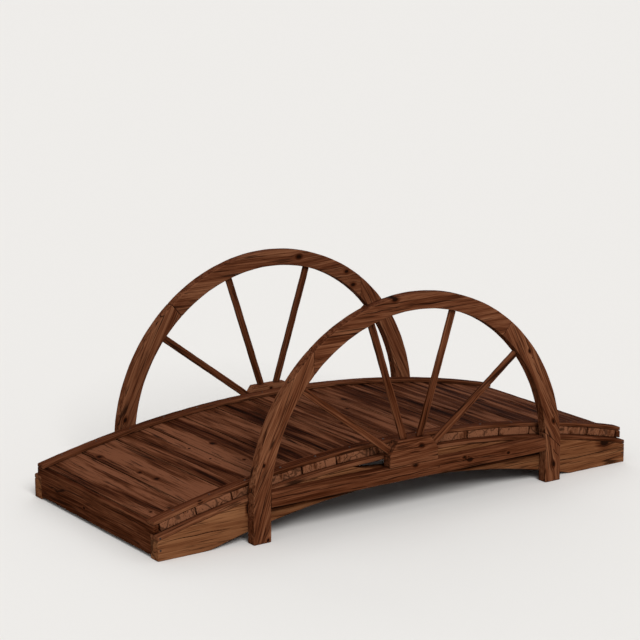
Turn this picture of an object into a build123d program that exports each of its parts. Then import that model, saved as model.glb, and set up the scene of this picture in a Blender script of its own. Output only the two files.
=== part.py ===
"""Wooden garden footbridge: an arched plank deck between two half wheels that serve as handrails.

Millimetres. X runs along the bridge, Y across it, Z up. The origin is on the ground,
under the middle of the deck. The half wheel on the far side is the near one turned
half a turn about the upright axis, as the maker fits the same rail on both sides.
"""
from build123d import *
from math import asin, cos, radians, sin, sqrt
import os

# Deck
deck_length = 1540.0
deck_width = 630.0
deck_crown = 184.0
deck_rise = 96.0
plank_count = 14
plank_thickness = 22.0
plank_gap = 4.0
edge_strip_width = 35.0
edge_strip_thickness = 10.0
fascia_thickness = 15.0
fascia_height = 80.0

# Side beams, each sawn from one board, and the laths on top of them
ledge_width = 19.0
beam_thickness = 38.0
beam_board_width = 149.0
bearer_thickness = 11.0
arch_height = 82.0
arch_span = 1187.0
arch_middle_x = -25.0
wane_middle_x = -62.0
wane_length = 250.0
wane_depth = 22.0

# Half wheels
wheel_radius = 506.0
rim_width = 45.0
leg_width = 53.0
wheel_thickness = 31.0
springing_height = 89.0
vertical_seam_x = -318.0
radial_seam_angle = 50.0
left_scarf_outer = 71.0
left_scarf_inner = 204.0
right_scarf_outer = 94.0
right_scarf_inner = 143.0
stretcher_bottom = 91.0
stretcher_height = 40.5

# Hub and spokes
hub_width = 159.0
hub_height = 70.0
hub_reach = 91.0
spoke_focus = 121.0
spoke_angles = (37.0, 72.0, 108.0, 143.0)
spoke_width = 20.0
spoke_depth = 10.0

# Clearance where a curved seat meets its neighbour
seat_gap = 0.2

sides = {"near": -1, "far": 1}

# Worked out from the sizes above
deck_radius = (deck_length ** 2 / 4 + deck_rise ** 2) / (2 * deck_rise)
deck_centre = deck_crown - deck_radius
plank_run = deck_length / 2 - fascia_thickness
frame_width = deck_width + 2 * ledge_width
plank_step = 2 * asin(plank_run / deck_radius) / plank_count
plank_width = 2 * deck_radius * sin(plank_step / 2) - plank_gap
plank_face_radius = sqrt(deck_radius ** 2 - plank_width ** 2 / 4)
bearer_radius = plank_face_radius - plank_thickness - seat_gap
beam_radius = bearer_radius - bearer_thickness - seat_gap
arch_radius = (arch_span ** 2 / 4 + arch_height ** 2) / (2 * arch_height)
wane_radius = (wane_length ** 2 / 4 + wane_depth ** 2) / (2 * wane_depth)
rim_inner_radius = wheel_radius - leg_width
inner_springing = springing_height + leg_width - rim_width
stretcher_top = stretcher_bottom + stretcher_height
hub_top = stretcher_top + hub_height


def face_plane(side, distance):
    """Upright plane along one side of the bridge, facing outwards, distance from the middle."""
    return Plane(origin=(0, side * distance, 0), x_dir=(-side, 0, 0), z_dir=(0, side, 0))


def end_name(side, local_end):
    """Which end of the bridge a piece on one side is at; local_end is -1 for its own left."""
    return "left" if -side * local_end < 0 else "right"


def finish(piece, name):
    """Names a finished piece and writes it."""
    piece.part.label = name
    export_step(piece.part, f"parts/{name}.step")


def arc_band(outer_radius, thickness, half_length):
    """Lath bent along the deck's curve, cut upright at both ends."""
    with BuildSketch() as band:
        with Locations((0, deck_centre)):
            Circle(outer_radius)
            Circle(outer_radius - thickness, mode=Mode.SUBTRACT)
        with Locations((0, deck_crown / 2)):
            Rectangle(2 * half_length, 2 * deck_crown, mode=Mode.INTERSECT)
    return band.sketch


def arch_face(radius, springing):
    """Opening or outline of the half wheel: a half circle on two upright legs."""
    with BuildSketch() as face:
        with BuildLine():
            crown = CenterArc((0, springing), radius, 0, 180)
            Polyline(crown @ 1, (-radius, 0), (radius, 0), crown @ 0)
        make_face()
    return face.sketch


def edge_x(radius, springing, height):
    """Half width, at one height, of a half circle on upright legs."""
    return sqrt(radius ** 2 - max(height - springing, 0.0) ** 2)


def foot_region(local_end, outer_height, inner_height):
    """Area below a scarf that falls outwards from the rim's inner edge to its outer edge."""
    inner_limit = rim_inner_radius - leg_width
    outer_limit = wheel_radius + leg_width
    outer_x = edge_x(wheel_radius, springing_height, outer_height)
    inner_x = edge_x(rim_inner_radius, inner_springing, inner_height)
    with BuildSketch() as region:
        with BuildLine():
            Polyline(
                (local_end * inner_limit, 0),
                (local_end * outer_limit, 0),
                (local_end * outer_limit, outer_height),
                (local_end * outer_x, outer_height),
                (local_end * inner_x, inner_height),
                (local_end * inner_limit, inner_height),
                close=True,
            )
        make_face()
    return region.sketch


def felloe_regions():
    """Areas that share the rim out between its three felloes, before the feet are taken off."""
    reach = 2 * wheel_radius
    seam = radians(radial_seam_angle)
    seam_end = (reach * cos(seam), springing_height + reach * sin(seam))
    centre = (0, springing_height)
    corners = {
        "left": [(-reach, 0), (vertical_seam_x, 0), (vertical_seam_x, reach), (-reach, reach)],
        "top": [centre, seam_end, (vertical_seam_x, reach), (vertical_seam_x, springing_height)],
        "right": [centre, (0, 0), (reach, 0), seam_end],
    }
    regions = {}
    for name, points in corners.items():
        with BuildSketch() as region:
            with BuildLine():
                Polyline(*points, close=True)
            make_face()
        regions[name] = region.sketch
    return regions


def rim_piece(side, region, removed, name):
    """One length of the rim: what the region keeps of it, less the regions removed."""
    with BuildPart() as piece:
        with BuildSketch(face_plane(side, frame_width / 2)):
            add(arch_face(wheel_radius, springing_height))
            add(arch_face(rim_inner_radius, inner_springing), mode=Mode.SUBTRACT)
            add(region, mode=Mode.INTERSECT)
            for other in removed:
                add(other, mode=Mode.SUBTRACT)
        extrude(amount=wheel_thickness)
    finish(piece, name)


def hub_face(base):
    """Hub block from a base height up, its upper corners cut square to the outer spokes."""
    lean = radians(spoke_angles[0])
    half = hub_width / 2
    facet_low = spoke_focus + (hub_reach - half * cos(lean)) / sin(lean)
    facet_in = (hub_reach - (hub_top - spoke_focus) * sin(lean)) / cos(lean)
    with BuildSketch() as face:
        with BuildLine():
            Polyline((0, base), (half, base), (half, facet_low), (facet_in, hub_top), (0, hub_top))
            mirror(about=Plane.YZ)
        make_face()
    return face.sketch


def make_planks():
    """Flat deck boards side by side, each square to the deck's curve at its own middle."""
    for index in range(plank_count):
        lean = (index - (plank_count - 1) / 2) * plank_step
        middle = (plank_face_radius * sin(lean), 0, deck_centre + plank_face_radius * cos(lean))
        top_plane = Plane(origin=middle, x_dir=(cos(lean), 0, -sin(lean)), z_dir=(sin(lean), 0, cos(lean)))
        with BuildPart() as plank:
            with BuildSketch(top_plane):
                Rectangle(plank_width, deck_width)
            extrude(amount=-plank_thickness)
        finish(plank, f"deck_plank_{index + 1:02d}")


def make_edge_strips():
    """Laths along both edges on top of the planks, over the fascias, end to end of the deck."""
    for name, side in sides.items():
        with BuildPart() as strip:
            with BuildSketch(face_plane(side, deck_width / 2)):
                add(arc_band(deck_radius + seat_gap + edge_strip_thickness, edge_strip_thickness,
                             deck_length / 2))
            extrude(amount=-edge_strip_width)
        finish(strip, f"edge_strip_{name}")


def make_bearers():
    """Laths on top of the side beams, under the plank ends and standing out past them."""
    for name, side in sides.items():
        with BuildPart() as bearer:
            with BuildSketch(face_plane(side, frame_width / 2)):
                add(arc_band(bearer_radius, bearer_thickness, deck_length / 2))
            extrude(amount=-beam_thickness)
        finish(bearer, f"bearer_{name}")


def make_side_beams():
    """Arched beams; the board is not wide enough for the whole curve, so its crown is flat.

    A shallow dip is left in the flat crown where the board's edge was not sound.
    """
    for name, side in sides.items():
        with BuildPart() as beam:
            with BuildSketch(face_plane(side, frame_width / 2)):
                with Locations((0, deck_centre)):
                    Circle(beam_radius)
                with Locations((0, beam_board_width / 2)):
                    Rectangle(deck_length, beam_board_width, mode=Mode.INTERSECT)
                with Locations((arch_middle_x, arch_height - arch_radius)):
                    Circle(arch_radius, mode=Mode.SUBTRACT)
                with Locations((wane_middle_x, beam_board_width + wane_radius - wane_depth)):
                    Circle(wane_radius, mode=Mode.SUBTRACT)
            extrude(amount=-beam_thickness)
        finish(beam, f"side_beam_{name}")


def fascia_face(end):
    """Section of the end board, its top edge cut to the deck's curve; end is -1 or 1."""
    end_height = deck_crown - deck_rise
    with BuildSketch() as face:
        with Locations((end * (deck_length - fascia_thickness) / 2, end_height - fascia_height)):
            Rectangle(fascia_thickness, 2 * fascia_height, align=(Align.CENTER, Align.MIN))
        with Locations((0, deck_centre)):
            Circle(deck_radius, mode=Mode.INTERSECT)
    return face.sketch


def make_fascias():
    """Boards between the beams at both ends, notched over the bearers to the deck's width."""
    for name, end in {"left": -1, "right": 1}.items():
        with BuildPart() as fascia:
            with BuildSketch(Plane.XZ):
                add(fascia_face(end))
            extrude(amount=frame_width / 2 - beam_thickness, both=True)
            with BuildSketch(Plane.XZ):
                add(fascia_face(end))
                with Locations((0, deck_centre)):
                    Circle(bearer_radius + seat_gap, mode=Mode.SUBTRACT)
            extrude(amount=deck_width / 2, both=True)
        finish(fascia, f"end_fascia_{name}")


def make_rims():
    """Three felloes and two feet on each side, meeting at the seams and scarfs."""
    feet = {
        -1: foot_region(-1, left_scarf_outer, left_scarf_inner),
        1: foot_region(1, right_scarf_outer, right_scarf_inner),
    }
    felloes = felloe_regions()
    for name, side in sides.items():
        rim_piece(side, felloes["top"], [], f"rim_top_{name}")
        for local_end, local_name in {-1: "left", 1: "right"}.items():
            end = end_name(side, local_end)
            rim_piece(side, felloes[local_name], [feet[local_end]], f"rim_{end}_{name}")
            rim_piece(side, feet[local_end], [], f"rail_foot_{end}_{name}")


def make_stretchers():
    """Board across each half wheel, between its legs, fixed to the side beam behind it."""
    for name, side in sides.items():
        with BuildPart() as stretcher:
            with BuildSketch(face_plane(side, frame_width / 2)):
                with Locations((0, stretcher_bottom)):
                    Rectangle(2 * wheel_radius, stretcher_height, align=(Align.CENTER, Align.MIN))
                add(arch_face(rim_inner_radius - seat_gap, inner_springing), mode=Mode.INTERSECT)
            extrude(amount=wheel_thickness)
        finish(stretcher, f"stretcher_{name}")


def make_hubs():
    """Hub blocks on the stretchers."""
    for name, side in sides.items():
        with BuildPart() as hub:
            with BuildSketch(face_plane(side, frame_width / 2)):
                add(hub_face(stretcher_top))
            extrude(amount=wheel_thickness)
        finish(hub, f"hub_{name}")


def make_spokes():
    """Flat bars that fan out from the hub to the rim's inner face, in the middle of its depth."""
    inset = (wheel_thickness - spoke_depth) / 2
    for name, side in sides.items():
        for number, angle in enumerate(spoke_angles, start=1):
            with BuildPart() as spoke:
                with BuildSketch(face_plane(side, frame_width / 2 + inset)):
                    with Locations((0, spoke_focus)):
                        Rectangle(2 * wheel_radius, spoke_width, rotation=angle,
                                  align=(Align.MIN, Align.CENTER))
                    add(arch_face(rim_inner_radius - seat_gap, inner_springing), mode=Mode.INTERSECT)
                    add(hub_face(0), mode=Mode.SUBTRACT)
                extrude(amount=spoke_depth)
            finish(spoke, f"spoke_{number}_{name}")


os.makedirs("parts", exist_ok=True)
make_planks()
make_edge_strips()
make_bearers()
make_side_beams()
make_fascias()
make_rims()
make_stretchers()
make_hubs()
make_spokes()
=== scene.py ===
"""Looks of a small wooden footbridge with half wheel handrails, laid out as a Blender add-on.

Each timber is a closed skin worked out with numpy: a board's rounded skin is computed once as
arrays, sunk along the grain where the wood has dried and cracked, and then bent, tapered or
mitred to its place. Lengths are in metres. X runs along the bridge, Y across it, Z up.
"""
import math
from functools import partial

import bmesh
import bpy
import numpy as np
from bpy.props import FloatProperty, FloatVectorProperty, PointerProperty
from mathutils import Matrix, Vector


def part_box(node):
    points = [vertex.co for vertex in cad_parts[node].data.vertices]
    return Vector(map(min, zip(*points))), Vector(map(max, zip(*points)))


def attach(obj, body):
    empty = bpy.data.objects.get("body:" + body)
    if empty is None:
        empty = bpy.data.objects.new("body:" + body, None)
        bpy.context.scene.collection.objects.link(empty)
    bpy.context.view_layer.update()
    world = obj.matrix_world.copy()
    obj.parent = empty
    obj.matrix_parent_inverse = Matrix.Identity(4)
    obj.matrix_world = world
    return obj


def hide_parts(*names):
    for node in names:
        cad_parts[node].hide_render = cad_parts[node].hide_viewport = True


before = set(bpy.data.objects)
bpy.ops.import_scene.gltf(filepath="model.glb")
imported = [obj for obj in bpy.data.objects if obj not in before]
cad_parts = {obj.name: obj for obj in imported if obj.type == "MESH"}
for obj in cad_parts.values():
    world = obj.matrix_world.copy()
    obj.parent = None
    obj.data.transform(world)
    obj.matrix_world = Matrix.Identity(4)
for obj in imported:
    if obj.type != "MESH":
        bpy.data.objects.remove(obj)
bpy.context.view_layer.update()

bl_info = {
    "name": "Half Wheel Footbridge",
    "version": (1, 0, 0),
    "blender": (4, 5, 0),
    "location": "View3D > Sidebar > Footbridge",
    "description": "Builds the timbers, fasteners and studio of a small arched footbridge",
    "category": "Object",
}

PLANK_LOW, PLANK_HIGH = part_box("deck_plank_01")
STRIP_LOW, STRIP_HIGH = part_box("edge_strip_near")
BEARER_LOW, BEARER_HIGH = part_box("bearer_near")
BEAM_LOW, BEAM_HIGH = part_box("side_beam_near")
FASCIA_LOW, FASCIA_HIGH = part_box("end_fascia_left")
STRETCHER_LOW, STRETCHER_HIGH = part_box("stretcher_near")
HUB_LOW, HUB_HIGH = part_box("hub_near")
SPOKE_LOW, SPOKE_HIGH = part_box("spoke_1_near")
PLANKS = [name for name in sorted(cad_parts) if name.startswith("deck_plank_")]
SIDES = {"near": -1, "far": 1}
STRIP_WIDTH = STRIP_HIGH.y - STRIP_LOW.y
BEAM_THICKNESS = BEAM_HIGH.y - BEAM_LOW.y
WHEEL_THICKNESS = STRETCHER_HIGH.y - STRETCHER_LOW.y
SPOKE_ANGLES = (37.0, 72.0, 108.0, 143.0)
BODY = "root"
MM = 0.001


def linear(text):
    """Colour for a shader from an sRGB hex text: each channel is turned from display to linear light."""
    channels = [int(text[i:i + 2], 16) / 255 for i in (1, 3, 5)]
    return [c / 12.92 if c <= 0.04045 else ((c + 0.055) / 1.055) ** 2.4 for c in channels]


def length_property(name, description, default):
    """A size of the bridge that a user can change, in metres."""
    return FloatProperty(name=name, description=description, default=default, unit="LENGTH",
                         subtype="DISTANCE", precision=4, min=0.0)


def colour_property(name, description, text):
    """A stain colour that a user can change, given as sRGB hex."""
    return FloatVectorProperty(name=name, description=description, default=linear(text), size=3,
                               subtype="COLOR", min=0.0, max=1.0)


class FootbridgeSizes(bpy.types.PropertyGroup):
    """Sizes of the timbers; those that the solids carry are read from them."""
    deck_length: length_property("Deck length", "End to end along the edge strips",
                                 STRIP_HIGH.x - STRIP_LOW.x)
    deck_width: length_property("Deck width", "Across the planks", PLANK_HIGH.y - PLANK_LOW.y)
    frame_width: length_property("Frame width", "Across the side beams", -2 * BEAM_LOW.y)
    deck_crown: length_property("Deck crown", "Height of the deck's curve at its middle", 0.184)
    deck_rise: length_property("Deck rise", "How far the deck's ends lie below its middle", 0.096)
    plank_thickness: length_property("Plank thickness", "Thickness of the deck boards", 0.022)
    plank_gap: length_property("Plank gap", "Drainage gap between two deck boards", 0.004)
    strip_thickness: length_property("Edge strip thickness", "Of the laths on the deck's edges", 0.01)
    bearer_thickness: length_property("Bearer thickness", "Of the laths under the planks", 0.011)
    fascia_thickness: length_property("Fascia thickness", "Of the boards across both ends",
                                      FASCIA_HIGH.x - FASCIA_LOW.x)
    fascia_bottom: length_property("Fascia bottom", "Height of the fascias' lower edge", FASCIA_LOW.z)
    beam_board: length_property("Beam board", "Width of the board that a side beam is sawn from",
                                BEAM_HIGH.z)
    arch_height: length_property("Arch height", "Clear height under the middle of a side beam", 0.082)
    arch_span: length_property("Arch span", "Clear span at the ground between a beam's feet", 1.187)
    arch_shift: length_property("Arch shift", "From the beam's middle to the arch's, leftwards", 0.025)
    wane_shift: length_property("Wane shift", "From the beam's middle to the dip's, leftwards", 0.062)
    wane_length: length_property("Wane length", "Length of the dip in a beam's flat crown", 0.25)
    wane_depth: length_property("Wane depth", "Depth of the dip in a beam's flat crown", 0.022)
    wheel_radius: length_property("Wheel radius", "Outer radius of the half wheels", 0.506)
    rim_width: length_property("Rim width", "Width of the rim at its top, seen from the side", 0.045)
    leg_width: length_property("Leg width", "Width of the rim's legs, seen from the side", 0.053)
    springing: length_property("Springing", "Height at which the rim's legs turn upright", 0.089)
    spoke_focus: length_property("Spoke focus", "Height of the point that the spokes fan out from", 0.121)
    spoke_width: length_property("Spoke width", "Width of a spoke, seen from the side", 0.02)
    hub_reach: length_property("Hub reach", "From the spokes' focus to the hub's cut corner", 0.091)
    seat_gap: length_property("Seat gap", "Clearance between bent pieces and their seats", 0.0002)
    soft_edge: length_property("Soft edge", "Radius of a timber's worn edges", 0.0022)
    nail_radius: length_property("Nail radius", "Radius of a nail's head", 0.0032)


class FootbridgeColours(bpy.types.PropertyGroup):
    """Colours of the stained softwood, dark to light, for each group of timbers."""
    deck_dark: colour_property("Deck dark", "Dark bands of the deck boards", "#35180c")
    deck_mid: colour_property("Deck middle", "Main tone of the deck boards", "#54301d")
    deck_light: colour_property("Deck light", "Pale bands of the deck boards", "#794e37")
    rail_dark: colour_property("Rail dark", "Dark bands of the half wheels", "#371809")
    rail_mid: colour_property("Rail middle", "Main tone of the half wheels", "#58311e")
    rail_light: colour_property("Rail light", "Pale bands of the half wheels", "#7a4f36")
    beam_dark: colour_property("Beam dark", "Dark bands of the beams", "#42200f")
    beam_mid: colour_property("Beam middle", "Main tone of the beams", "#653d25")
    beam_light: colour_property("Beam light", "Pale bands of the beams", "#7d5336")
    # Upward faces are multiplied by this: greying by weather and a painted sky reflection
    weather: colour_property("Weather", "What the sky takes from an upward face", "#d9c7c3")
    char: colour_property("Char", "Cracks, knots and scorched lines", "#180b06")
    nail: colour_property("Nail", "Weathered nail heads", "#2b2420")
    rust: colour_property("Rust", "Rust on the nail heads", "#3a1f12")
    floor: colour_property("Floor", "Pale studio floor", "#e9e7e4")


def sizes():
    """The sizes as they are set on the scene."""
    return bpy.context.scene.footbridge_sizes


def colours():
    """The colours as they are set on the scene."""
    return bpy.context.scene.footbridge_colours


def arc_radius(span, rise):
    """Radius of the circle through both ends and the middle of an arc."""
    return (span ** 2 / 4 + rise ** 2) / (2 * rise)


def deck_radius():
    """Radius of the deck's curve, which goes through its crown and its two ends."""
    return arc_radius(sizes().deck_length, sizes().deck_rise)


def deck_centre():
    """Height of the centre of the deck's curve, below the ground."""
    return sizes().deck_crown - deck_radius()


def plank_run():
    """Half the length that the planks cover, between the two fascias."""
    return sizes().deck_length / 2 - sizes().fascia_thickness


def plank_layout():
    """Every plank's lean, in equal steps along the deck's curve, their width, which is the chord of a
    step less the gap, and the distance of their top faces from the curve's centre."""
    step = 2 * math.asin(plank_run() / deck_radius()) / len(PLANKS)
    leans = [(index - (len(PLANKS) - 1) / 2) * step for index in range(len(PLANKS))]
    width = 2 * deck_radius() * math.sin(step / 2) - sizes().plank_gap
    return leans, width, math.sqrt(deck_radius() ** 2 - width ** 2 / 4)


def rim_inner():
    """Radius of the rim's inner edge and the height of its centre, above the outer edge's centre."""
    s = sizes()
    return s.wheel_radius - s.leg_width, s.springing + s.leg_width - s.rim_width


def rim_middle():
    """Radius of the line midway between the rim's inner and outer edges."""
    return (sizes().wheel_radius + rim_inner()[0]) / 2


def bearer_top():
    """Radius of the bearers' upper face, just under the planks."""
    return plank_layout()[2] - sizes().plank_thickness - sizes().seat_gap


def beam_top():
    """Radius of the side beams' upper edge, just under the bearers."""
    return bearer_top() - sizes().bearer_thickness - sizes().seat_gap


# Skin of a board: the steps of its grid along it, across it, round its edges and over its ends, and
# how near to each other two points are one

LENGTH_STEP = 9 * MM
CROSS_STEP = 2 * MM
ROUND_STEPS = 3
CAP_RINGS = 5
MERGE_DISTANCE = 0.00001


def board_skin(length, width, thickness, rounding):
    """Rounded skin of a board, as grids of points and outward normals over two parameters.

    One parameter goes along the board and one around it. A point is a core point plus the edge
    radius times its normal. At the ends the profile draws in along a quarter circle, and then
    the cap closes on the board's middle line. Width is the longer side of the section.
    """
    across = np.linspace(-1, 1, max(int(width / CROSS_STEP), 3))
    down = np.linspace(1, -1, max(int(thickness / CROSS_STEP), 3))
    turn = np.linspace(0, math.pi / 2, ROUND_STEPS + 2)[1:-1]
    flat = [(across, 1, 0, 1), (1, down, 1, 0), (-across, -1, 0, -1), (-1, -down, -1, 0)]
    corner = [(1, 1, 0), (1, -1, 1), (-1, -1, 2), (-1, 1, 3)]
    core_w, core_t, norm_w, norm_t = [], [], [], []
    for (cw, ct, nw, nt), (kw, kt, quarter) in zip(flat, corner):
        side = np.zeros(max(np.size(cw), np.size(ct)))
        angle = math.pi / 2 - quarter * math.pi / 2 - turn
        core_w += [side + cw, np.full(turn.size, kw)]
        core_t += [side + ct, np.full(turn.size, kt)]
        norm_w += [side + nw, np.cos(angle)]
        norm_t += [side + nt, np.sin(angle)]
    core_w, core_t, norm_w, norm_t = (np.concatenate(c) for c in (core_w, core_t, norm_w, norm_t))

    body = np.linspace(-1, 1, max(int(length / LENGTH_STEP), 3)) * (length / 2 - rounding)
    lean = np.linspace(0, math.pi / 2, ROUND_STEPS + 1)[1:]
    cap = np.linspace(rounding, thickness / 2, CAP_RINGS + 1)[1:]
    end_along = np.concatenate([length / 2 - rounding + rounding * np.sin(lean),
                                np.full(CAP_RINGS, length / 2)])
    end_inset = np.concatenate([rounding * (1 - np.cos(lean)), cap])
    end_lean = np.concatenate([lean, np.full(CAP_RINGS, math.pi / 2)])
    along = np.concatenate([-end_along[::-1], body, end_along])
    inset = np.concatenate([end_inset[::-1], np.zeros(body.size), end_inset])
    tilt = np.concatenate([-end_lean[::-1], np.zeros(body.size), end_lean])

    reach = np.maximum(inset, rounding)[:, None]
    radius = np.maximum(rounding - inset, 0)[:, None]
    points = np.stack([
        along[:, None] + 0 * core_w,
        core_w * (width / 2 - reach) + radius * norm_w,
        core_t * (thickness / 2 - reach) + radius * norm_t,
    ], -1)
    normals = np.stack([
        np.sin(tilt)[:, None] + 0 * core_w,
        np.cos(tilt)[:, None] * norm_w,
        np.cos(tilt)[:, None] * norm_t,
    ], -1)
    return points, normals


def grid_faces(rows, columns):
    """Quads of a grid that is open along its rows and closed around its columns."""
    row, column = np.meshgrid(np.arange(rows - 1), np.arange(columns), indexing="ij")
    following = (column + 1) % columns
    return np.stack([
        row * columns + column,
        row * columns + following,
        (row + 1) * columns + following,
        (row + 1) * columns + column,
    ], -1).reshape(-1, 4)


# Weathering. Seeded knots have radii in millimetres, and seeded cracks a share of their timber's
# length to each side of their middle. FAR_AWAY is a gap that no mark reaches across, FULL_TURN the
# range of a random phase, and TINY keeps a direction without a length from being divided by 0.

RIDGES = 7
RIDGE_DEPTH = 0.3 * MM
WEAR_DEPTH = 0.7 * MM
EDGE_REACH = 4 * MM
CRACK_HALF_WIDTH = 1.3 * MM
CRACK_DEPTH = 1.6 * MM
CRACK_WANDER = 0.8 * MM
CRACK_SLOPE = 3 * MM
CRACK_SHARE = (0.06, 0.22)
KNOT_DEPTH = 0.5 * MM
KNOT_STRETCH = 1.5
KNOT_RADII = (2.2, 4.5)
FAR_AWAY = 40.0
FULL_TURN = 6.3
TINY = 1e-12

# Tones are steps along the stain's run of colours, above 0 lighter and below 0 darker. Boards differ
# by chance. Undersides are darkened as painted shade, and so are the beams between the wheels' legs,
# as painted shade of the wheels, above all along a painted shadow line under the stretchers.
TONE_SPREAD = 0.07
UNDERSIDE_SHADE = -0.3
BETWEEN_LEGS_SHADE = -0.05
STRETCHER_SHADOW_TONE = -0.85
STRETCHER_SHADOW_REACH = 15 * MM

# Knots that show, each as its place (x, y, z) and its radius
KNOTS = {
    "rim_top_near": [(-0.063, -0.365, 0.585, 0.006)],
    "rim_top_far": [(0.099, 0.334, 0.566, 0.005), (0.290, 0.334, 0.460, 0.005)],
    "side_beam_near": [(0.692, -0.334, 0.071, 0.012)],
    "stretcher_near": [(0.190, -0.365, 0.113, 0.004), (0.169, -0.365, 0.122, 0.003),
                       (0.001, -0.365, 0.128, 0.004)],
    "hub_far": [(0.003, 0.334, 0.190, 0.004)],
    "rail_foot_right_near": [(0.479, -0.365, 0.047, 0.005)],
    "rim_right_near": [(0.479, -0.365, 0.174, 0.004)],
    "rim_left_far": [(-0.485, 0.334, 0.170, 0.005)],
    "deck_plank_02": [(-0.615, -0.060, 0.123, 0.004), (-0.635, 0.208, 0.119, 0.005)],
    "deck_plank_03": [(-0.451, 0.050, 0.151, 0.004)],
    "deck_plank_04": [(-0.387, 0.024, 0.160, 0.006)],
}

# Pieces that took the stain lighter (above 0) or darker than the rest of their kind
TONES = {
    "rail_foot_left_near": 0.08, "rim_left_near": 0.05, "rim_right_near": 0.08, "rim_top_near": 0.14,
    "rail_foot_left_far": 0.2, "rim_left_far": 0.2, "rim_top_far": 0.22, "rim_right_far": 0.08,
    "hub_far": 0.3, "edge_strip_far": -0.04, "stretcher_near": 0.04,
    "spoke_1_near": 0.1, "spoke_2_near": 0.02, "spoke_3_near": 0.05, "spoke_4_near": 0.0,
    "spoke_1_far": 0.06, "spoke_2_far": 0.06, "spoke_3_far": 0.06, "spoke_4_far": 0.04,
    "deck_plank_01": 0.06, "deck_plank_02": 0.06, "deck_plank_03": -0.04, "deck_plank_04": 0.06,
    "side_beam_near": 0.12, "end_fascia_left": 0.04,
}

# Open cracks that show, each from one place to another
CRACKS = {
    "rim_top_near": [((-0.190, -0.365, 0.570), (-0.050, -0.365, 0.565)),
                     ((-0.060, -0.365, 0.566), (0.180, -0.365, 0.560))],
    "hub_near": [((-0.060, -0.365, 0.179), (0.055, -0.365, 0.175))],
    "rail_foot_right_near": [((0.462, -0.365, 0.110), (0.503, -0.365, 0.060))],
    "rail_foot_left_near": [((-0.500, -0.365, 0.020), (-0.462, -0.365, 0.150))],
    "rim_left_near": [((-0.508, -0.365, 0.130), (-0.464, -0.365, 0.240))],
    "stretcher_near": [((-0.150, -0.365, 0.100), (0.080, -0.365, 0.108))],
}


def ridge_depth(grain, random):
    """How far soft early wood has sunk: the mean of cosines 8 to 25 mm long across the grain, whose
    phase swings slowly along it."""
    along, across = grain[..., 0], grain[..., 1] + 0.7 * grain[..., 2]
    depth = np.zeros(along.shape)
    for _ in range(RIDGES):
        waves = random.uniform(40, 130)
        wander = random.uniform(0.2, 0.9) * np.sin(2 * np.pi * random.uniform(0.6, 2.2) * along
                                                   + random.uniform(0, FULL_TURN))
        depth += 0.5 + 0.5 * np.cos(2 * np.pi * waves * across + wander + random.uniform(0, FULL_TURN))
    return depth / RIDGES * RIDGE_DEPTH


def wear_depth(points, edge, random):
    """How far a long edge has chipped: the edge share times the square of the sum of two cosines
    along it, some 150 and some 50 mm long, which differ from edge to edge."""
    along = points[..., 0]
    waves = np.zeros(along.shape)
    for low, high in ((4, 9), (13, 27)):
        swing = 2 * np.pi * random.uniform(low, high) * along + 2 * np.sign(points[..., 1])
        waves += 0.25 + 0.25 * np.cos(swing + random.uniform(0, FULL_TURN))
    return edge * waves ** 2 * WEAR_DEPTH


def nearest_place(wood, placed, spot):
    """Wood coordinates, along and across, of the point of the skin that is nearest to a place."""
    gap = ((placed - np.array(spot)) ** 2).sum(-1)
    return wood.reshape(-1, 3)[gap.argmin()][:2]


def knots_of(node, wood, placed, random, count):
    """A timber's knots, named ones first and then seeded ones away from its ends and edges: along,
    across and radius of each."""
    found = [(*nearest_place(wood, placed, knot[:3]), knot[3]) for knot in KNOTS.get(node, ())]
    low, high = np.percentile(wood[..., :2].reshape(-1, 2), [8, 92], axis=0)
    for _ in range(count):
        found.append((*random.uniform(low, high), random.uniform(*KNOT_RADII) * MM))
    return found


def cracks_of(node, wood, placed, random, count, length):
    """A timber's cracks, named ones first and then seeded ones: the two ends of each."""
    found = [tuple(nearest_place(wood, placed, spot) for spot in crack) for crack in CRACKS.get(node, ())]
    low, high = np.percentile(wood[..., :2].reshape(-1, 2), [4, 96], axis=0)
    for _ in range(count):
        middle = random.uniform(low, high)
        half = random.uniform(*CRACK_SHARE) * length
        slope = random.uniform(-1, 1) * CRACK_SLOPE
        found.append((middle - (half, slope), middle + (half, slope)))
    return found


def nearest_knot(wood, knots):
    """Offset from the nearest knot in units of its radius, stretched along the grain, and its length."""
    offset = np.full((*wood.shape[:-1], 2), FAR_AWAY)
    for along, across, radius in knots:
        here = (wood[..., :2] - (along, across)) / (radius * KNOT_STRETCH, radius)
        nearer = (here ** 2).sum(-1) < (offset ** 2).sum(-1)
        offset = np.where(nearer[..., None], here, offset)
    return np.concatenate([offset, 0 * offset[..., :1]], -1), np.sqrt((offset ** 2).sum(-1))


def nearest_crack(wood, cracks):
    """Place beside the nearest crack: along it from -1 to 1 and across it in half widths, and how
    far away that is. A crack wanders like a sine, and past its ends it counts as far away."""
    offset = np.full((*wood.shape[:-1], 2), FAR_AWAY)
    gap = np.full(wood.shape[:-1], FAR_AWAY)
    for start, stop in cracks:
        way = (stop - start) / 2
        half = math.hypot(*way)
        from_middle = wood[..., :2] - (start + stop) / 2
        along = from_middle @ way / half ** 2
        across = (from_middle[..., 1] * way[0] - from_middle[..., 0] * way[1]) / half
        across = across + CRACK_WANDER * np.sin(9 * along + 40 * start[1])
        here = np.stack([along, across / CRACK_HALF_WIDTH], -1)
        away = np.abs(here[..., 1]) + FAR_AWAY * np.maximum(np.abs(along) - 1, 0)
        offset = np.where((away < gap)[..., None], here, offset)
        gap = np.minimum(away, gap)
    return np.concatenate([offset, 0 * offset[..., :1]], -1), gap


def edge_share(points, width, thickness):
    """1 on a board's long edges, falling like a bell curve to 0 some millimetres away from them."""
    from_w = width / 2 - np.abs(points[..., 1])
    from_t = thickness / 2 - np.abs(points[..., 2])
    return np.exp(-((from_w + from_t) / EDGE_REACH) ** 2)


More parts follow.
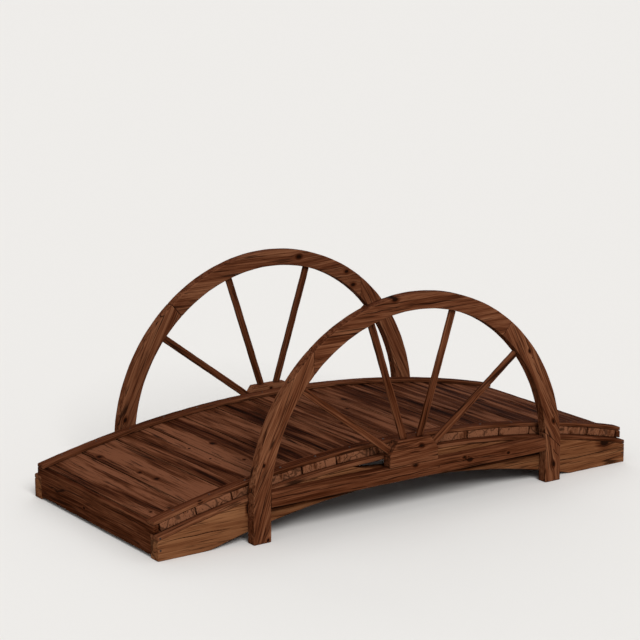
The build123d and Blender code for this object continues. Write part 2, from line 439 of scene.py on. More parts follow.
def sky_share(placed):
    """1 where the skin faces the sky, 0 where it is upright and -1 where it faces down: the upward part
    of the cross product of the grid's two directions, turned to point away from the piece's middle."""
    rows = np.gradient(placed, axis=0)
    columns = np.roll(placed, -1, axis=1) - np.roll(placed, 1, axis=1)
    across = np.cross(rows, columns)
    across /= np.maximum(np.linalg.norm(across, axis=-1, keepdims=True), TINY)
    middle = placed.mean(1, keepdims=True)
    outward_turn = np.sign(((placed - middle) * across).sum(-1))
    return across[..., 2] * outward_turn


def timber(node, form, size, place, group, slot, grain=None, cracks=2, knots=1, tone=0.0, end_tone=0.0,
           shade_per_metre=0.0, shade=None):
    """Builds one timber: skin, weathering, place in the frame, attributes, material, and its ride.

    place turns board coordinates (along, across, depth) into the frame. grain, where it is given,
    turns frame points into wood coordinates, for pieces sawn from straight-grained boards. cracks
    and knots count the seeded ones. tone is the timber's own, end_tone is added on its cut ends,
    fade is painted shade that darkens it for each metre to the right, and shade gives painted shade
    or shadow to add at each frame point.
    """
    length, width, thickness = size
    seed = sum(ord(letter) * (position + 3) for position, letter in enumerate(node))
    random = np.random.default_rng(seed)
    points, normals = board_skin(length, width, thickness, min(sizes().soft_edge, thickness / 4))
    placed = place(points)
    wood = points if grain is None else grain(placed)
    knot, knot_gap = nearest_knot(wood, knots_of(node, wood, placed, random, knots))
    crack, crack_gap = nearest_crack(wood, cracks_of(node, wood, placed, random, cracks, length))
    edge = edge_share(points, width, thickness)
    on_end, on_face = np.abs(normals[..., 0]), np.abs(normals[..., 2])
    open_share = np.exp(-crack[..., 1] ** 2) * np.clip(1 - crack[..., 0] ** 2, 0, 1) * on_face
    sunk = (ridge_depth(wood, random) + wear_depth(points, edge, random) + CRACK_DEPTH * open_share
            + KNOT_DEPTH * np.exp(-knot_gap ** 2))
    placed = place(points - normals * sunk[..., None])

    # Each board starts elsewhere along the grain, and its pith lies 60 to 200 mm to one side of it
    pith = np.array([random.uniform(2, 60),
                     random.choice([-1, 1]) * random.uniform(0.06, 0.2) - wood[..., 1].mean(),
                     random.uniform(-0.5, 0.5) * thickness])
    sky = sky_share(placed)
    # Painted shade: faces that look down are darkened, the tone falls for each metre to the right, and shade
    # adds painted shadow where it is given
    tone = (tone + TONES.get(node, 0) + random.uniform(-1, 1) * TONE_SPREAD + end_tone * on_end
            + UNDERSIDE_SHADE * np.clip(-sky, 0, 1) + shade_per_metre * placed[..., 0])
    if shade:
        tone = tone + shade(placed)
    attributes = {
        "grain": wood + pith, "knot": knot, "knot_gap": knot_gap, "crack": crack,
        "crack_gap": crack_gap + FAR_AWAY * (1 - on_face), "edge": edge, "end": on_end,
        "sky": np.clip(sky, 0, 1) ** 2, "tone": tone,
    }
    name = f"{node}_{form}"
    mesh = bpy.data.meshes.new(name)
    mesh.from_pydata(placed.reshape(-1, 3), [], grid_faces(*edge.shape))
    for label, values in attributes.items():
        kind, field = ("FLOAT_VECTOR", "vector") if values.ndim == 3 else ("FLOAT", "value")
        layer = mesh.attributes.new(label, kind, "POINT")
        layer.data.foreach_set(field, np.ascontiguousarray(values, dtype=np.float32).ravel())
    close_mesh(mesh)
    return add_piece(name, mesh, finish_of(group), slot, node)


def close_mesh(mesh):
    """Merges the points that meet at the poles, drops what that flattens and turns faces outwards."""
    work = bmesh.new()
    work.from_mesh(mesh)
    bmesh.ops.remove_doubles(work, verts=work.verts, dist=MERGE_DISTANCE)
    bmesh.ops.recalc_face_normals(work, faces=work.faces)
    work.to_mesh(mesh)
    work.free()
    mesh.shade_smooth()


def add_piece(name, mesh, finish, slot, *nodes):
    """Puts a finished mesh in the scene: its material, the solids it stands for, its ride. slot is not used.
    """
    mesh.materials.append(finish)
    piece = bpy.data.objects.new(name, mesh)
    bpy.context.scene.collection.objects.link(piece)
    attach(piece, BODY)
    if nodes:
        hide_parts(*nodes)
    return piece


# Materials. A map range's inputs are a value, the two ends of the range that it comes from, and the
# two ends of the one that it goes to, which are 0 and 1 where they aren't given.

RING_SPACING = 6 * MM
GRAIN_WANDER = 20 * MM
KNOT_PUSH = 6 * MM
LATE_WOOD_TONE = -0.1
KNOT_HALO_TONE = -0.35
MEAN_STAIN = 0.56
# Share of the weather colour on upward faces: weathering and painted sky reflection together
SKY_GREYING_AND_TINT = 0.65
RUBBED_FROM = 0.2
MATT_SPECULAR = 0.003

# Round a knot, counted in its radii: where its swirl, its dark halo and its black heart set in and
# where they are full
KNOT_SWIRL = (4.5, 0.8)
KNOT_HALO = (2.2, 0.9)
KNOT_HEART = (1.05, 0.75)

# Near black marks: the values of a pattern between which a mark goes from faint to full, then its
# strength. For a line they are distances from the pattern's middle value.
DARK_MARKS = (("dash", 0.6, 0.67, 0.7), ("fibre", 0.38, 0.3, 0.42))
CHECK_LINE = (0.012, 0.004, 0.85)
END_CHECK_LINE = (0.034, 0.012, 0.65)

# How much the bands, the streaks and the fibres count in the stain of each group of timbers
GAINS = {"deck": (2.3, 2.0, 0.9), "rail": (0.5, 0.9, 1.2), "beam": (0.7, 0.8, 1.1)}

# Patterns of the wood: noise cells for each metre along the grain, across it and into the board,
# then detail, roughness and distortion. Heart and sap bands are 67 mm wide and 0.6 m long, stain
# streaks 15 mm by 0.4 m, and scorched dashes 4 by 100 mm. Real fibres are far finer than these of
# 3 by 140 mm, which are drawn coarse enough to show. Long checks follow the middle value of fields
# of 37 mm by 1.1 m, broken off by patches of 25 mm by 0.3 m.
PATTERNS = (
    ("band", (1.6, 15, 15), 2.0, 0.55, 0.5),
    ("streak", (2.4, 66, 24), 4.0, 0.66, 0.3),
    ("fibre", (7, 330, 200), 3.0, 0.65, 0.0),
    ("dash", (10, 250, 170), 2.0, 0.5, 0.0),
    ("check", (0.9, 27, 20), 2.0, 0.4, 0.0),
    ("check_mask", (3.1, 40, 30), 1.0, 0.5, 0.0),
)


def add_node(tree, kind, inputs=(), ramp=(), **settings):
    """Adds one node. inputs gives its sockets in order, or by name or number, and for each a value,
    the socket that it comes from, or a node, whose first output is then meant. ramp lists the
    positions and colours of a colour ramp."""
    made = tree.nodes.new(f"ShaderNode{kind}")
    for name, value in settings.items():
        setattr(made, name, value)
    for position, colour in ramp[2:]:
        made.color_ramp.elements.new(position)
    for element, (position, colour) in zip(made.color_ramp.elements if ramp else (), ramp):
        element.position = position
        element.color = (*colour, 1)
    for name, value in inputs.items() if isinstance(inputs, dict) else enumerate(inputs):
        if isinstance(value, bpy.types.Node):
            value = value.outputs[0]
        if isinstance(value, bpy.types.NodeSocket):
            tree.links.new(value, made.inputs[name])
        else:
            made.inputs[name].default_value = value
    return made


def new_material(name):
    """Empty node material, and the function that adds a node to it."""
    material = bpy.data.materials.new(name)
    material.use_nodes = True
    material.node_tree.nodes.clear()
    return material, partial(add_node, material.node_tree)


def stained_fir(name, dark, middle, light, weather, gains):
    """Sawn fir, scorched and stained brown: broad heart and sap bands, uneven streaks of stain,
    straight growth rings, and near black lines where the wood has checked along its grain.

    The wood coordinates run along the grain, across it and into the board. Every pattern is
    stretched along the grain, so it turns into short upright marks where a board's end is cut.
    Knots push the grain aside. Surfaces under the sky are greyer than upright ones, partly by weather
    and partly by a painted sky reflection.
    """
    material, add = new_material(name)
    attribute = {label: add("Attribute", attribute_name=label).outputs[output]
                 for output, labels in (("Vector", ("grain", "knot", "crack")),
                                        ("Fac", ("knot_gap", "crack_gap", "edge", "end", "sky", "tone")))
                 for label in labels}

    # The grain wanders some 4 mm to each side, in turns 0.4 m long and 110 mm wide
    slow = add("VectorMath", [attribute["grain"], (2.6, 9, 9)], operation="MULTIPLY")
    drift = add("TexNoise", {"Vector": slow, "Scale": 1, "Detail": 1}).outputs["Color"]
    centred = add("VectorMath", [drift, (0.5, 0.5, 0.5)], operation="SUBTRACT")
    wandered = add("VectorMath", [centred, (0, GRAIN_WANDER, GRAIN_WANDER), attribute["grain"]],
                   operation="MULTIPLY_ADD")

    # Knots push the grain aside
    from_knot = add("VectorMath", [attribute["knot"]], operation="LENGTH").outputs["Value"]
    between_knots = add("Math", [attribute["knot_gap"], 1.5], operation="SUBTRACT")
    knot_reach = add("Math", [from_knot, between_knots], operation="MAXIMUM")
    swirl = add("MapRange", [knot_reach, *KNOT_SWIRL], interpolation_type="SMOOTHSTEP")
    away = add("VectorMath", [attribute["knot"]], operation="NORMALIZE")
    aside = add("VectorMath", [away, (0, -KNOT_PUSH, 0)], operation="MULTIPLY")
    pushed = add("VectorMath", {0: aside, "Scale": swirl}, operation="SCALE")
    bent = add("VectorMath", [wandered, pushed], operation="ADD")

    patterns = {}
    for label, scale, detail, roughness, distortion in PATTERNS:
        scaled = add("VectorMath", [bent, scale], operation="MULTIPLY")
        patterns[label] = add("TexNoise", {"Vector": scaled, "Scale": 1, "Detail": detail,
                                           "Roughness": roughness, "Distortion": distortion})

    # Growth rings round a pith beside the board, so that they lie straight along it
    axes = add("SeparateXYZ", [bent])
    section = add("CombineXYZ", {1: axes.outputs[1], 2: axes.outputs[2]})
    from_pith = add("VectorMath", [section], operation="LENGTH").outputs["Value"]
    ring_count = add("Math", [from_pith, 1 / RING_SPACING, patterns["band"]],
                     operation="MULTIPLY_ADD")
    ring = add("Math", [ring_count], operation="FRACT")
    late_wood = add("ValToRGB", [ring], ramp=[
        (0.0, (0.3, 0.3, 0.3)), (0.4, (0.0, 0.0, 0.0)), (0.86, (1.0, 1.0, 1.0)), (1.0, (0.3, 0.3, 0.3))])

    # The stain's step from dark to light, and its colour before wear and weather
    shares = add("CombineXYZ", [patterns["band"], patterns["streak"], patterns["fibre"]])
    stain = add("VectorMath", [shares, gains], operation="DOT_PRODUCT").outputs["Value"]
    stain = add("Math", [stain, attribute["tone"]], operation="ADD")
    stain = add("Math", [late_wood, LATE_WOOD_TONE, stain], operation="MULTIPLY_ADD")
    stain = add("Math", [stain, sum(gains) / 2 - MEAN_STAIN], operation="SUBTRACT")
    halo = add("MapRange", [knot_reach, *KNOT_HALO, 0, KNOT_HALO_TONE])
    stain = add("Math", [stain, halo], operation="ADD")
    char = tuple(colours().char)
    colour = add("ValToRGB", [stain], ramp=[(0.0, char), (0.24, dark), (0.54, middle), (0.86, light)])

    # Edges are rubbed pale in places, and what faces the sky is greyed by weather and tinted with a painted
    # sky reflection
    worn = add("Math", [attribute["edge"], patterns["streak"]], operation="MULTIPLY")
    worn = add("Math", [worn, RUBBED_FROM], operation="SUBTRACT", use_clamp=True)
    rubbed = add("Mix", {0: worn, 6: colour, 7: (*light, 1)}, data_type="RGBA").outputs[2]
    sky_tint_share = add("Math", [attribute["sky"], SKY_GREYING_AND_TINT], operation="MULTIPLY")
    greyed_and_sky_tinted = add("Mix", {0: sky_tint_share, 6: rubbed, 7: (*weather, 1)}, data_type="RGBA",
                    blend_type="MULTIPLY").outputs[2]

    # Near black: scorched dashes, and the seams between fibres
    marks = [add("MapRange", [patterns[label], faint, full, 0, strength])
             for label, faint, full, strength in DARK_MARKS]

    # Near black too: a line wherever a pattern crosses its middle value, for long checks on the
    # faces and for short broad ones on the cut ends
    masked = add("MapRange", [patterns["check_mask"], 0.5, 0.56])
    for label, (faint, full, strength), where in (
        ("check", CHECK_LINE, masked),
        ("band", END_CHECK_LINE, attribute["end"]),
    ):
        from_middle = add("Math", [patterns[label], 0.5], operation="SUBTRACT")
        from_line = add("Math", [from_middle], operation="ABSOLUTE")
        line = add("MapRange", [from_line, faint, full, 0, strength])
        marks.append(add("Math", [line, where], operation="MULTIPLY"))

    # And the open cracks, widest in the middle and run out at both ends, and the knots' hearts
    beside = add("SeparateXYZ", [attribute["crack"]])
    squared = add("Math", [beside, beside], operation="MULTIPLY")
    taper = add("Math", [1, squared], operation="SUBTRACT")
    across = add("Math", [beside.outputs[1]], operation="ABSOLUTE")
    between_cracks = add("Math", [attribute["crack_gap"], 2], operation="SUBTRACT")
    across = add("Math", [across, between_cracks], operation="MAXIMUM")
    inside = add("Math", [taper, across], operation="SUBTRACT")
    marks += [
        add("Math", [inside, 2], operation="MULTIPLY", use_clamp=True),
        add("MapRange", [knot_reach, *KNOT_HEART, 0, 0.95]),
    ]
    black, *others = marks
    for mark in others:
        black = add("Math", [black, mark], operation="MAXIMUM", use_clamp=True)
    final = add("Mix", {0: black, 6: greyed_and_sky_tinted, 7: (*char, 1)}, data_type="RGBA").outputs[2]

    # Rough sawn and matt, a little smoother where stain lies thick; fibres stand up, cracks lie deep
    gloss = add("MapRange", [patterns["streak"], 0.3, 0.7, 0.9, 0.68])
    raised = add("Math", [patterns["fibre"], 0.6, stain], operation="MULTIPLY_ADD")
    height = add("Math", [black, -0.9, raised], operation="MULTIPLY_ADD")
    bump = add("Bump", {"Strength": 0.6, "Distance": 0.8 * MM, "Height": height})
    shader = add("BsdfPrincipled", {"Base Color": final, "Roughness": gloss, "Normal": bump,
                                    "Specular IOR Level": MATT_SPECULAR})
    add("OutputMaterial", {"Surface": shader})
    return material


def finish_of(group):
    """The stained wood of one group of timbers: deck, rail or beam. It is made once and then reused."""
    name = f"scorched_fir_{group}"
    made = bpy.data.materials.get(name)
    if made:
        return made
    tones = [tuple(getattr(colours(), f"{group}_{shade}")) for shade in ("dark", "mid", "light")]
    return stained_fir(name, *tones, tuple(colours().weather), GAINS[group])


def weathered_steel():
    """Zinc coated nails gone dull: grey brown patches 4 mm wide, darker and rougher where they rust."""
    made = bpy.data.materials.get("weathered_steel_nails")
    if made:
        return made
    material, add = new_material("weathered_steel_nails")
    where = add("TexCoord").outputs["Object"]
    patches = add("TexNoise", {"Vector": where, "Scale": 260, "Detail": 3})
    rusty = add("ValToRGB", [patches], ramp=[(0.4, tuple(colours().nail)), (0.62, tuple(colours().rust))])
    rough = add("MapRange", [patches, 0.3, 0.7, 0.45, 0.8])
    shader = add("BsdfPrincipled", {"Base Color": rusty, "Roughness": rough, "Metallic": 0.1,
                                    "Specular IOR Level": 0.15})
    add("OutputMaterial", {"Surface": shader})
    return material


# Places of the timbers

def outward(side, x, y, z):
    """Points of one side as it is seen from outside: x to the right, y towards the viewer, z up."""
    return np.stack([-side * x, side * y, z + 0 * x], -1)


def end_name(side, local_end):
    """Which end of the bridge a piece on one side is at; local_end is -1 for its own left."""
    return "left" if -side * local_end < 0 else "right"


def share(values, length):
    """Board coordinate from 0 at its low end to 1 at its high end."""
    return values / length + 0.5


def between(low, high, part):
    """Straight blend from low to high."""
    return low + (high - low) * part


class FOOTBRIDGE_OT_deck_planks(bpy.types.Operator):
    """Builds the deck boards, each its own flat board square to the deck's curve"""
    bl_idname = "footbridge.deck_planks"
    bl_label = "Deck planks"

    def execute(self, context):
        leans, width, radius = plank_layout()
        thickness = sizes().plank_thickness
        for node, lean in zip(PLANKS, leans):
            def place(p):
                """Flat, with its grain across the deck and its middle at an angle on the deck's circle."""
                out = radius - thickness / 2 + p[..., 2]
                x = out * math.sin(lean) + p[..., 1] * math.cos(lean)
                z = deck_centre() + out * math.cos(lean) - p[..., 1] * math.sin(lean)
                return np.stack([x, p[..., 0], z], -1)
            # Painted shade: the deck darkens towards its right end
            timber(node, "board", (sizes().deck_width, width, thickness), place, "deck", "deck_wood",
                   cracks=4, tone=0.05, end_tone=0.4, shade_per_metre=-0.18)
        return {"FINISHED"}


def lath(node, side, top_radius, thickness, inner, outer, slot, tone, shade_per_metre):
    """One lath bent along the deck's curve. Its angle is the share along it of the angle where the
    circle of that height meets the upright cut at its end, so that both end cuts stay upright.
    Its grain follows the bend."""
    length = sizes().deck_length

    def place(p):
        radius = top_radius - thickness / 2 + p[..., 2]
        angle = 2 * p[..., 0] / length * np.arcsin(length / 2 / radius)
        y = (inner + outer) / 2 + p[..., 1]
        return outward(side, radius * np.sin(angle), y, deck_centre() + radius * np.cos(angle))
    timber(node, "lath", (length, outer - inner, thickness), place, "rail", slot, tone=tone, shade_per_metre=shade_per_metre)


class FOOTBRIDGE_OT_laths(bpy.types.Operator):
    """Builds the bent laths: edge strips on top of the planks and bearers under their ends"""
    bl_idname = "footbridge.laths"
    bl_label = "Edge strips and bearers"

    def execute(self, context):
        s = sizes()
        strip_top = deck_radius() + s.seat_gap + s.strip_thickness
        strip_outer, bearer_outer = s.deck_width / 2, s.frame_width / 2
        bearer_inner = bearer_outer - (BEARER_HIGH.y - BEARER_LOW.y)
        for side_name, side in SIDES.items():
            # Painted shade: the edge strips and bearers darken towards the right
            lath(f"edge_strip_{side_name}", side, strip_top, s.strip_thickness, strip_outer - STRIP_WIDTH,
                 strip_outer, "deck_wood", -0.02, -0.16)
            lath(f"bearer_{side_name}", side, bearer_top(), s.bearer_thickness, bearer_inner, bearer_outer,
                 "beam_wood", 0.08, -0.2)
        return {"FINISHED"}


class FOOTBRIDGE_OT_side_beams(bpy.types.Operator):
    """Builds the two arched side beams"""
    bl_idname = "footbridge.side_beams"
    bl_label = "Side beams"

    def execute(self, context):
        s = sizes()
        depth = s.beam_board - s.arch_height
        arch_radius = arc_radius(s.arch_span, s.arch_height)
        wane_radius = arc_radius(s.wane_length, s.wane_depth)
        wane_centre = s.beam_board + wane_radius - s.wane_depth
        for side_name, side in SIDES.items():
            def place(p):
                """Blends from the arch cut below, or the ground, to the bearers' circle above, which the
                board's own straight edge cuts off and a shallow circle dips into."""
                x = p[..., 0]
                top = np.minimum(deck_centre() + np.sqrt(beam_top() ** 2 - x ** 2), s.beam_board)
                dip = np.maximum(wane_radius ** 2 - (x + s.wane_shift) ** 2, 0)
                top = np.where(dip > 0, np.minimum(top, wane_centre - np.sqrt(dip)), top)
                bottom = s.arch_height - arch_radius + np.sqrt(arch_radius ** 2 - (x + s.arch_shift) ** 2)
                y = s.frame_width / 2 - BEAM_THICKNESS / 2 + p[..., 2]
                return outward(side, x, y, between(np.maximum(bottom, 0), top, share(p[..., 1], depth)))

            def grain(points):
                """Straight along the board that the beam was sawn from."""
                return np.stack([-side * points[..., 0], points[..., 2], points[..., 1]], -1)

            def painted_shade_under_wheel(points):
                """Painted shade of the wheel over the beam between its legs, and a painted shadow of the
                stretcher, darkest within half its reach of the stretcher's lower edge, fading evenly out to
                one and a half times its reach."""
                beside = np.clip(1.5 - np.abs(points[..., 2] - STRETCHER_LOW.z) / STRETCHER_SHADOW_REACH, 0, 1)
                return (BETWEEN_LEGS_SHADE + STRETCHER_SHADOW_TONE * beside) * (np.abs(points[..., 0]) < s.wheel_radius)
            # Painted shade: the beam darkens towards the right, and the shade function adds painted shade
            # between the legs and a painted shadow under the stretcher
            timber(f"side_beam_{side_name}", "board", (s.deck_length, depth, BEAM_THICKNESS), place, "beam",
                   "beam_wood", grain=grain, cracks=5, shade_per_metre=-0.1, shade=painted_shade_under_wheel)
        return {"FINISHED"}


class FOOTBRIDGE_OT_end_fascias(bpy.types.Operator):
    """Builds the boards across both ends of the deck, notched over the bearers"""
    bl_idname = "footbridge.end_fascias"
    bl_label = "End fascias"

    def execute(self, context):
        s = sizes()
        height = s.deck_crown - s.deck_rise - s.fascia_bottom
        core = s.frame_width / 2 - BEAM_THICKNESS
        for end_label, end in {"left": -1, "right": 1}.items():
            def place(p):
                """Upright, from a level lower edge to the deck's curve, and between the beams as far up
                as the bearers, above which it widens to the deck's width."""
                x = plank_run() + s.fascia_thickness / 2 + p[..., 2]
                top = deck_centre() + np.sqrt(deck_radius() ** 2 - x ** 2)
                z = between(s.fascia_bottom, top, share(p[..., 1], height))
                over_bearer = (z - deck_centre()) - np.sqrt(bearer_top() ** 2 - x ** 2) - CROSS_STEP
                half = between(core, s.deck_width / 2, np.clip(over_bearer / CROSS_STEP + 1, 0, 1))
                return np.stack([end * x, p[..., 0] / (s.deck_width / 2) * half, z], -1)
            # Painted shade: the fascias' darker tone shows their end faces in shade
            timber(f"end_fascia_{end_label}", "board", (s.deck_width, height, s.fascia_thickness), place,
                   "rail", "beam_wood", cracks=3, tone=-0.2)
        return {"FINISHED"}


def rim_place(side, start, stop, length):
    """Length of rim between two cuts. Its coordinate along is an angle on the half circle, and
    past the springing a height on the upright leg; both cuts change it with the radius."""
    s = sizes()
    inner, inner_centre = rim_inner()

    def place(p):
        part = share(p[..., 1], s.leg_width)
        turn = between(between(*start, part), between(*stop, part), share(p[..., 0], length))
        angle = np.clip(turn, 0, math.pi)
        below = np.minimum(turn, 0) + np.minimum(math.pi - turn, 0)
        radius = between(inner, s.wheel_radius, part)
        x = radius * np.cos(angle)
        z = between(inner_centre, s.springing, part) + radius * np.sin(angle) + below * rim_middle()
        return outward(side, x, s.frame_width / 2 + WHEEL_THICKNESS / 2 + p[..., 2], z)
    return place


def rim_turn(radius, centre, height, local_end):
    """The rim's coordinate at a height: the angle on the half circle, or past it on the leg."""
    above = height - centre
    turn = math.asin(above / radius) if above > 0 else above / rim_middle()
    return turn if local_end > 0 else math.pi - turn


class FOOTBRIDGE_OT_rims(bpy.types.Operator):
    """Builds both rims, each from three felloes and two feet that meet at seams and scarfs"""
    bl_idname = "footbridge.rims"
    bl_label = "Half wheel rims"

    radial_seam: FloatProperty(name="Radial seam", description="Angle of the seam that points at the centre",
                               default=math.radians(50), subtype="ANGLE")
    vertical_seam: FloatProperty(name="Upright seam", description="Its place along the bridge",
                                 default=-0.318, unit="LENGTH")
    left_scarf: FloatVectorProperty(name="Left scarf", description="Heights at the inner and outer edge",
                                    default=(0.204, 0.071), size=2)
    right_scarf: FloatVectorProperty(name="Right scarf", description="Heights at the inner and outer edge",
                                     default=(0.143, 0.094), size=2)
    foot_grain: FloatVectorProperty(name="Foot grain", description="Its slope in the left and right foot",
                                    default=(math.radians(70), math.radians(100)), size=2, subtype="EULER")

    def execute(self, context):
        s = sizes()
        inner, inner_centre = rim_inner()
        edges = ((inner, inner_centre), (s.wheel_radius, s.springing))
        centre_step = (inner_centre - s.springing) * math.cos(self.radial_seam)

        def cut(heights, local_end):
            """Where a cut through a leg meets the inner and the outer edge."""
            return tuple(rim_turn(r, c, height, local_end) for (r, c), height in zip(edges, heights))
        cuts = [
            cut((0, 0), 1),
            cut(self.right_scarf, 1),
            (self.radial_seam - math.asin(centre_step / inner), self.radial_seam),
            tuple(math.acos(self.vertical_seam / r) for r, _ in edges),
            cut(self.left_scarf, -1),
            cut((0, 0), -1),
        ]
        parts = [("rail_foot", 1, 0.02), ("rim", 1, -0.12), ("rim_top", 0, -0.2), ("rim", -1, -0.04),
                 ("rail_foot", -1, 0.02)]
        for side_name, side in SIDES.items():
            for (kind, local_end, tone), start, stop in zip(parts, cuts[:-1], cuts[1:]):
                end = f"_{end_name(side, local_end)}" if local_end else ""
                lean = (sum(start) + sum(stop)) / 4 + math.pi / 2
                if kind == "rail_foot":
                    lean = self.foot_grain[0 if local_end < 0 else 1]
                length = rim_middle() * (sum(stop) - sum(start)) / 2

                def grain(points):
                    """Straight through the piece, at the lean of its middle or of its foot."""
                    x, z = -side * points[..., 0], points[..., 2]
                    along = x * math.cos(lean) + z * math.sin(lean)
                    across = z * math.cos(lean) - x * math.sin(lean)
                    return np.stack([along, across, points[..., 1]], -1)
                timber(f"{kind}{end}_{side_name}", "timber", (length, s.leg_width, WHEEL_THICKNESS),
                       rim_place(side, start, stop, length), "rail", "rail_wood", grain=grain, cracks=3,
                       tone=tone)
        return {"FINISHED"}


class FOOTBRIDGE_OT_stretchers(bpy.types.Operator):
    """Builds the straight boards between the legs of the half wheels"""
    bl_idname = "footbridge.stretchers"
    bl_label = "Stretchers"

    def execute(self, context):
        s = sizes()
        inner, inner_centre = rim_inner()
        inner = inner - s.seat_gap
        height = STRETCHER_HIGH.z - STRETCHER_LOW.z
        length = 2 * inner
        for side_name, side in SIDES.items():
            def place(p):
                """Level, and at each height as long as the rim's inner edge leaves room."""
                z = STRETCHER_LOW.z + height / 2 + p[..., 1]
                half = np.sqrt(inner ** 2 - np.maximum(z - inner_centre, 0) ** 2)
                y = s.frame_width / 2 + WHEEL_THICKNESS / 2 + p[..., 2]
                return outward(side, 2 * p[..., 0] / length * half, y, z)
            timber(f"stretcher_{side_name}", "board", (length, height, WHEEL_THICKNESS), place, "rail",
                   "rail_wood", cracks=3, tone=-0.1)
        return {"FINISHED"}


class FOOTBRIDGE_OT_hubs(bpy.types.Operator):
    """Builds the hub blocks, with their corners cut square to the outer spokes"""
    bl_idname = "footbridge.hubs"
    bl_label = "Hubs"

    def execute(self, context):
        s = sizes()
        lean = math.radians(SPOKE_ANGLES[0])
        half = HUB_HIGH.x
        thickness = HUB_HIGH.y - HUB_LOW.y
        height = HUB_HIGH.z - HUB_LOW.z
        for side_name, side in SIDES.items():
            def place(p):
                """Level, and at each height as long as the upright ends and the slanted cuts leave it."""
                z = HUB_LOW.z + height / 2 + p[..., 1]
                facet = (s.hub_reach - (z - s.spoke_focus) * math.sin(lean)) / math.cos(lean)
                y = s.frame_width / 2 + thickness / 2 + p[..., 2]
                return outward(side, p[..., 0] / half * np.minimum(facet, half), y, z)
            timber(f"hub_{side_name}", "block", (2 * half, height, thickness), place, "rail", "rail_wood")
        return {"FINISHED"}


class FOOTBRIDGE_OT_spokes(bpy.types.Operator):
    """Builds the spokes from the hubs to the rims"""
    bl_idname = "footbridge.spokes"
    bl_label = "Spokes"

    angles: FloatVectorProperty(name="Angles", description="Angles of the four spokes, in degrees",
                                default=SPOKE_ANGLES, size=4)

    def execute(self, context):
        s = sizes()
        inner, inner_centre = rim_inner()
        inner = inner - s.seat_gap
        rise = s.spoke_focus - inner_centre
        thickness = SPOKE_HIGH.y - SPOKE_LOW.y
        for side_name, side in SIDES.items():
            for number, degrees in enumerate(self.angles, 1):
                angle = math.radians(degrees)

                def ends(across):
                    """Distances from the focus to the hub and to the rim, on a line beside the spoke's
                    axis: spokes 2 and 3 start on the hub's level top, the others on its slanted cut."""
                    above_hub = (HUB_HIGH.z - s.spoke_focus - across * math.cos(angle)) / math.sin(angle)
                    start = above_hub if number in (2, 3) else s.hub_reach + 0 * across
                    side_step = across + rise * math.cos(angle)
                    return start, np.sqrt(inner ** 2 - side_step ** 2) - rise * math.sin(angle)
                start, stop = ends(0.0)
                length = float(stop - start)

                def place(p):
                    """Straight along the spoke's angle, from its own end cut to its own end cut."""
                    reach = between(*ends(p[..., 1]), share(p[..., 0], length))
                    x = reach * math.cos(angle) - p[..., 1] * math.sin(angle)
                    z = s.spoke_focus + reach * math.sin(angle) + p[..., 1] * math.cos(angle)
                    return outward(side, x, s.frame_width / 2 + WHEEL_THICKNESS / 2 + p[..., 2], z)
                timber(f"spoke_{number}_{side_name}", "bar", (length, s.spoke_width, thickness), place,
                       "rail", "rail_wood", cracks=1, knots=0, tone=-0.14)
        return {"FINISHED"}


# Nails: the grid of a head, and how far it stands out of the wood and reaches into it

HEAD_SEGMENTS = 12
HEAD_RINGS = 4
HEAD_HEIGHT = 0.9 * MM
HEAD_SKIRT = 0.7 * MM


def nail_heads(name, spots):
    """Low domes in one mesh. On a unit head, ring by ring, the radius is the sine of an angle and the
    height its cosine, then comes a short skirt into the wood and a flat underside. Each head is set
    up on its spot: a place on the timber and the direction that it faces."""
    angle = np.linspace(0, math.pi / 2, HEAD_RINGS)
    ring_radius = np.concatenate([np.sin(angle), [1.0, 0.0]]) * sizes().nail_radius
    ring_height = np.concatenate([np.cos(angle) * HEAD_HEIGHT, [-HEAD_SKIRT, -HEAD_SKIRT]])
    turn = np.arange(HEAD_SEGMENTS) * 2 * math.pi / HEAD_SEGMENTS
    head = np.stack([ring_radius[:, None] * np.cos(turn), ring_radius[:, None] * np.sin(turn),
                     ring_height[:, None] + 0 * turn], -1)
    faces = grid_faces(*head.shape[:2])
    points, quads = [], []
    for spot, facing in spots:
        turned = np.array(Vector(facing).to_track_quat("Z", "Y").to_matrix())
        quads.append(faces + len(points) * head[..., 0].size)
        points.append(head.reshape(-1, 3) @ turned.T + np.array(spot))
    mesh = bpy.data.meshes.new(name)
    mesh.from_pydata(np.concatenate(points), [], np.concatenate(quads))
    close_mesh(mesh)
    return add_piece(name, mesh, weathered_steel(), None)


class FOOTBRIDGE_OT_nails(bpy.types.Operator):
    """Builds the nail heads: one over each plank in the edge strips, and two at each end of a beam"""
    bl_idname = "footbridge.nails"
    bl_label = "Nails"

    beam_heights: FloatVectorProperty(name="Beam heights", description="Heights of the nails in a beam's end",
                                      default=(0.028, 0.06), size=2)

    def execute(self, context):
        s = sizes()
        top = deck_radius() + s.seat_gap + s.strip_thickness - RIDGE_DEPTH
        strip_middle = s.deck_width / 2 - STRIP_WIDTH / 2
        end = s.deck_length / 2 - s.fascia_thickness / 2
        for side_name, side in SIDES.items():
            spots = [((top * math.sin(lean), side * strip_middle, deck_centre() + top * math.cos(lean)),
                      (math.sin(lean), 0, math.cos(lean))) for lean in plank_layout()[0]]
            spots += [((x, side * (s.frame_width / 2 - RIDGE_DEPTH), z), (0, side, 0))
                      for x in (-end, end) for z in self.beam_heights]
            nail_heads(f"nails_{side_name}", spots)
        return {"FINISHED"}


# Stage: half the floor's side, and the world's light on the object and towards the camera

FLOOR_HALF = 40.0
DAYLIGHT = 0.5
BACKGROUND = 0.8


